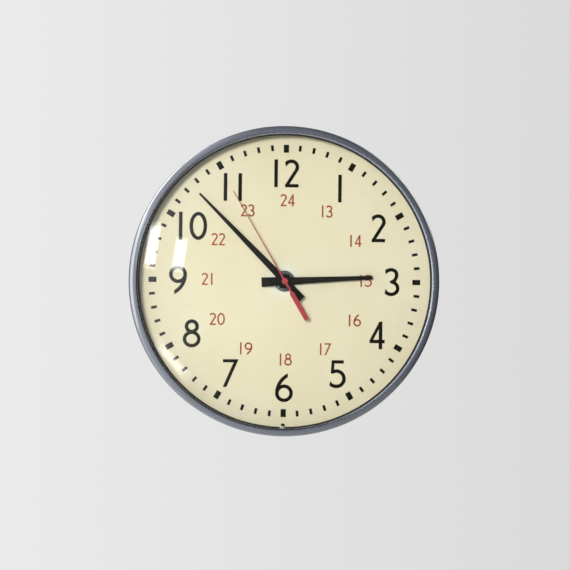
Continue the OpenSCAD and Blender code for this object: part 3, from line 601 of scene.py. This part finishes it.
def hand(rows, hole_r, height, clock_turn):
    """A hand with a round hole: rings run from the hole's back edge to its front edge, out over
    the flat front, round the front edge, down the side and home along the back."""
    rows = np.asarray(rows, dtype=float)
    inner = rows - (0, 2 * hand_round)
    inner[0, 0] += hand_round
    inner[-1, 0] -= hand_round
    corners = [math.atan2(s, side * w / 2) for t in (rows, inner) for s, w in t[[0, -1]]
               for side in (-1, 1)]
    angles = np.unique(np.mod(np.concatenate([np.radians(np.arange(0, 360, 4)), corners,
                                              np.radians([89.6, 90.4, 269.2, 270.8])]),
                              2 * np.pi))
    full, less = reach(rows, angles), reach(inner, angles)
    hole = 0 * angles + hole_r
    front = height + hand_thick
    bend = np.radians([90, 60, 30, 0])
    rings = [(hole, height), (hole, front)]
    rings += [(less + (full - less) * math.cos(b), front - hand_round * (1 - math.sin(b)))
              for b in bend]
    rings += [(full, height), (hole, height)]
    turn = angles - math.radians(clock_turn)
    return np.stack([np.stack([r * np.cos(turn), 0 * r - h, r * np.sin(turn)], -1)
                     for r, h in rings])


minute_hand = skin("minute_blade", hand(minute_rows, minute_hole_r, minute_back, minute_angle))
minute_hand.data.materials.append(black)
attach(minute_hand, "minute")
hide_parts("minute_hand")

hour_hand = skin("hour_blade", hand(hour_rows, hour_hole_r, hour_back, hour_angle))
hour_hand.data.materials.append(black)
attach(hour_hand, "hour")
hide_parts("hour_hand")

# ---------------------------------------------------------------- second hand
# A thin sweep hand cut from sheet and painted red, with a broad tail to balance it. It is
# staked on a small turned boss, and a rounded cap finishes its hub.

second_back = 36                    # height of the blade's back
second_cap_r = 3.3
second_turn = math.radians(329.5)
second_rows = np.array([
    (-47.8, 5.2), (-30, 5.2), (-16, 5.2), (-14.2, 3.9), (-12.5, 2.4), (0, 2.2), (10, 1.6),
    (20, 1.15), (66, 0.95), (112, 0.75)])
half = second_rows[:, 1:] / 2
soft = 0.18                         # radius of the round on the blade's front edges
# a section across the blade, whose points are (side, shift inwards or outwards, height)
edge = np.concatenate([
    [(-1, 0, 0), (1, 0, 0)],
    [(1, soft * (math.cos(b) - 1), hand_thick - soft * (1 - math.sin(b)))
     for b in np.radians([0, 30, 60, 90])],
    [(-1, soft * (1 - math.cos(b)), hand_thick - soft * (1 - math.sin(b)))
     for b in np.radians([90, 60, 30, 0])]])
second_across = half * edge[:, 0] + edge[:, 1]
second_up = second_rows[:, :1] + 0 * second_across
second_blade = np.stack([
    second_across * math.cos(second_turn) + second_up * math.sin(second_turn),
    0 * second_across - second_back - edge[:, 2],
    second_up * math.cos(second_turn) - second_across * math.sin(second_turn)], -1)
second_cap = turned(np.concatenate([
    [(0, second_back - 0.02), (second_cap_r, second_back - 0.02)],
    bow(second_cap_r - 0.3, second_back + 0.45, 0.3, 0.25, 0, 80, 5),
    bow(0, second_back + 0.3, 2.6, 0.65, 60, 90, 6)]), sides=64)
red = finish(
    "red_paint", [(0.400, 0.052, 0.060), (0.460, 0.066, 0.074)], (0.30, 0.42),
    grain=(900, 900, 900), bump=0.1, depth=1e-5, cloud=50)[0]
second_hand = skin("second_blade", second_blade, second_cap)
second_hand.data.materials.append(red)
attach(second_hand, "seconds")
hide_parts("second_hand")
dress(red, "second_hand_boss")

# ---------------------------------------------------------------- case
# A spun steel ring with a hem at the back, a straight side and a rounded lip, sprayed slate
# grey. It swings up on the hinge at 12 o'clock, where its rear edge is cut away.

case_r = 167.98                     # the rear edge's outer radius
case_wall = 1.2
case_rear = 0.8                     # height of the rear edge
case_shoulder = 37.5                # height at which the side starts to round over
case_front_r = 167.0                # outer radius there
lip_r = 160.2                       # radius of the lip's highest line
lip_height = 46.0
lip_roll = 2.0                      # radius of the roll inside that line
lip_in = lip_r - lip_roll
lip_back = 43.0                     # height of the lip's inner edge
lip_edge = 0.25                     # radius of the round on that edge
hem_step = 0.5
notch_width = 54.0                  # room for the hinge
notch_half = math.degrees(math.asin(notch_width / 2 / case_r))
notch_top = 8.0
case_profile = np.concatenate([
    [(case_r - 2.5, case_rear + 0.05), (case_r - 2.3, case_rear), (case_r - 0.8, case_rear)],
    bow(case_r - 0.7, case_rear + 0.7, 0.7, 0.7, -80, 0, 5),
    np.stack([np.linspace(case_r - 0.02, case_front_r, 9),
              np.linspace(case_rear + 1.4, case_shoulder, 9)], -1)[:-1],
    bow(lip_r, case_shoulder, case_front_r - lip_r, lip_height - case_shoulder, 0, 88, 26),
    bow(lip_r, lip_height - lip_roll, lip_roll, lip_roll, 90, 180, 10),
    [(lip_in, lip_back + lip_edge)],
    bow(lip_in + lip_edge, lip_back + lip_edge, lip_edge, lip_edge, 180, 270, 3),
    [(lip_in + case_wall, lip_back), (lip_in + case_wall, lip_height - 1.5)],
    bow(lip_r, case_shoulder, 5.6, 7.3, 86, 0, 14),
    [(case_r - case_wall, case_rear + case_wall + 0.6),
     (case_r - case_wall - hem_step, case_rear + case_wall),
     (case_r - 2.5, case_rear + case_wall)]])
case_open = turned(case_profile, (notch_half, 360 - notch_half), 340)
# over the hinge the same profile is cut off level with the notch's top
cut_profile = case_profile.copy()
low = cut_profile[:, 1] < notch_top
cut_profile[low, 0] = np.where(cut_profile[low, 0] > case_r - case_wall / 2,
                               case_r - 0.2, case_r - case_wall)
cut_profile[low, 1] = notch_top
case_cut = turned(cut_profile, (-notch_half, notch_half), 18)
case_shell = skin("case_shell", np.concatenate([case_open, case_cut, case_open[:1]]), sharp=40)

enamel, enamel_tree, enamel_shader = finish(
    "slate_grey_enamel", [(0.102, 0.112, 0.138), (0.124, 0.134, 0.161)], (0.24, 0.34),
    grain=(520, 520, 520), bump=0.22, depth=3e-5, cloud=10)
enamel_shader.inputs["Coat Weight"].default_value = 0.8
enamel_shader.inputs["Coat Roughness"].default_value = 0.10
# years of dusting have rubbed the highest places paler
rubbed = enamel_tree.nodes.new("ShaderNodeNewGeometry")
rubbed_level = enamel_tree.nodes.new("ShaderNodeMapRange")
rubbed_level.inputs["From Min"].default_value = 0.53
rubbed_level.inputs["From Max"].default_value = 0.62
rubbed_level.inputs["To Max"].default_value = 0.4
enamel_tree.links.new(rubbed.outputs["Pointiness"], rubbed_level.inputs["Value"])
rubbed_tone = enamel_tree.nodes.new("ShaderNodeMix")
rubbed_tone.data_type = "RGBA"
rubbed_tone.inputs["B"].default_value = (0.25, 0.27, 0.31, 1)
enamel_tree.links.new(rubbed_level.outputs["Result"], rubbed_tone.inputs["Factor"])
enamel_tree.links.new(enamel_tree.nodes["tone"].outputs["Color"], rubbed_tone.inputs["A"])
# a painted highlight: a band of paler bare metal on the lip's roll, which catches a bright line
# on the right and stays dark on the left
lip_place = enamel_tree.nodes.new("ShaderNodeVectorMath")
lip_place.operation = "MULTIPLY"
lip_place.inputs[1].default_value = (1, 0, 1)
enamel_place = next(n for n in enamel_tree.nodes if n.bl_idname == "ShaderNodeTexCoord")
enamel_tree.links.new(enamel_place.outputs["Object"], lip_place.inputs[0])
from_axis = enamel_tree.nodes.new("ShaderNodeVectorMath")
from_axis.operation = "LENGTH"
enamel_tree.links.new(lip_place.outputs["Vector"], from_axis.inputs[0])
roll_highlight_level = enamel_tree.nodes.new("ShaderNodeMapRange")
roll_highlight_level.inputs["From Min"].default_value = 0.001 * (lip_r + 0.6)
roll_highlight_level.inputs["From Max"].default_value = 0.001 * (lip_r - 0.1)
enamel_tree.links.new(from_axis.outputs["Value"], roll_highlight_level.inputs["Value"])
enamel_tree.links.new(roll_highlight_level.outputs["Result"], enamel_shader.inputs["Metallic"])
# the paler metal tone of the roll's painted highlight
roll_highlight_tone = enamel_tree.nodes.new("ShaderNodeMix")
roll_highlight_tone.data_type = "RGBA"
roll_highlight_tone.inputs["B"].default_value = (0.35, 0.375, 0.43, 1)
enamel_tree.links.new(roll_highlight_level.outputs["Result"], roll_highlight_tone.inputs["Factor"])
enamel_tree.links.new(rubbed_tone.outputs["Result"], roll_highlight_tone.inputs["A"])
enamel_tree.links.new(roll_highlight_tone.outputs["Result"], enamel_shader.inputs["Base Color"])
case_shell.data.materials.append(enamel)
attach(case_shell, "case")
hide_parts("case_ring")

# ---------------------------------------------------------------- glass and its gasket
# A domed clock glass, seated in a rubber channel behind the lip and held by a spring wire. The
# channel is one length, with its ends either side of the wire's finger loop at 6 o'clock.

glass_r = 160.8
glass_top = 61.4                    # height of the dome's middle
ball_r = 683.184                    # radius of the ball that its front is part of
ball_middle = glass_top - ball_r
glass_thick = 2.5
glass_edge = 0.5                    # depth of the ground round on its edge


def dome(r, below=0.0):
    """Height of the glass's ball at a radius, or of the parallel ball below it."""
    return ball_middle + np.sqrt((ball_r - below) ** 2 - r ** 2)


out_r = np.linspace(0, glass_r - glass_edge, 48)
edge_turn = np.radians(np.linspace(70, -70, 7))
edge_mid = dome(glass_r, glass_thick / 2)
glass_profile = np.concatenate([
    np.stack([out_r, dome(out_r)], -1),
    np.stack([glass_r - glass_edge + glass_edge * np.cos(edge_turn),
              edge_mid + 1.2 * np.sin(edge_turn)], -1),
    np.stack([out_r[::-1], dome(out_r[::-1], glass_thick)], -1)])
glass = skin("glass_dome", turned(glass_profile, sides=256), sharp=50)
clear = bpy.data.materials.new("clear_glass")
clear.use_nodes = True
clear_tree = clear.node_tree
clear_shader = clear_tree.nodes["Principled BSDF"]
clear_shader.inputs["Base Color"].default_value = (0.97, 0.99, 0.98, 1)
clear_shader.inputs["Transmission Weight"].default_value = 1.0
clear_shader.inputs["IOR"].default_value = 1.5
# wiped glass: faint long smears, which show only in the roughness
clear_place = clear_tree.nodes.new("ShaderNodeTexCoord")
clear_stretch = clear_tree.nodes.new("ShaderNodeMapping")
clear_stretch.inputs["Rotation"].default_value = (0, 0.6, 0)
clear_stretch.inputs["Scale"].default_value = (9, 9, 60)
smear = clear_tree.nodes.new("ShaderNodeTexNoise")
smear.inputs["Scale"].default_value = 1
smear.inputs["Detail"].default_value = 4
smear_level = clear_tree.nodes.new("ShaderNodeMapRange")
smear_level.inputs["From Min"].default_value = 0.45
smear_level.inputs["From Max"].default_value = 0.75
smear_level.inputs["To Min"].default_value = 0.0
smear_level.inputs["To Max"].default_value = 0.035
clear_tree.links.new(clear_place.outputs["Object"], clear_stretch.inputs["Vector"])
clear_tree.links.new(clear_stretch.outputs["Vector"], smear.inputs["Vector"])
clear_tree.links.new(smear.outputs["Fac"], smear_level.inputs["Value"])
clear_tree.links.new(smear_level.outputs["Result"], clear_shader.inputs["Roughness"])
# the lamps' light passes straight through to the dial
clear_path = clear_tree.nodes.new("ShaderNodeLightPath")
lets_light_in = clear_tree.nodes.new("ShaderNodeBsdfTransparent")
clear_mix = clear_tree.nodes.new("ShaderNodeMixShader")
clear_out = clear_tree.nodes["Material Output"]
clear_tree.links.new(clear_path.outputs["Is Shadow Ray"], clear_mix.inputs[0])
clear_tree.links.new(clear_shader.outputs[0], clear_mix.inputs[1])
clear_tree.links.new(lets_light_in.outputs[0], clear_mix.inputs[2])
clear_tree.links.new(clear_mix.outputs[0], clear_out.inputs["Surface"])
glass.data.materials.append(clear)
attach(glass, "case")
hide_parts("glass")

channel_in = 156.5
channel_out = 162.1
channel_back = 37.9                 # height of the channel's back
channel_chamfer = 0.4
# how far left and right of 6 o'clock the channel's ends stop, clear of the wire's finger loop
loop_left, loop_right = 4.2, 1.0
channel_start = 180 + math.degrees(loop_left / glass_r)
channel_stop = 540 - math.degrees(loop_right / glass_r)
seat_in = 158.6                     # the glass's edge sits in the channel from here outwards
glass_near = dome(channel_in) + 0.03
gasket = skin("glass_channel", turned(np.concatenate([
    [(channel_out - channel_chamfer, channel_back), (channel_out, channel_back + channel_chamfer),
     (channel_out, lip_back - channel_chamfer), (channel_out - channel_chamfer, lip_back),
     (lip_in + 0.2, lip_back)],
    [(channel_in + 0.05, glass_near), (seat_in, dome(seat_in) + 0.02), (glass_r, dome(glass_r)),
     (glass_r, dome(glass_r, glass_thick)), (seat_in, dome(seat_in, glass_thick) - 0.02),
     (channel_in, dome(channel_in, glass_thick) - 0.02)],
    bow(channel_in + 0.8, channel_back + 0.8, 0.8, 0.8, 180, 270, 5)]),
    (channel_start, channel_stop), 300))
gasket.data.materials.append(rubber)
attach(gasket, "case")
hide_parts("glass_gasket")

# the steel wire that holds the glass up has a pale, barely metallic finish, a painted glint, so
# that its two bent ends show bright at six o'clock
pale_wire_glint = finish(
    "wire_with_painted_glint", [(0.74, 0.75, 0.76), (0.84, 0.84, 0.84)], (0.30, 0.42), metallic=0.25,
    grain=(900, 900, 900), bump=0.08, depth=6e-6, cloud=40)[0]
dress(pale_wire_glint, "glass_wire")
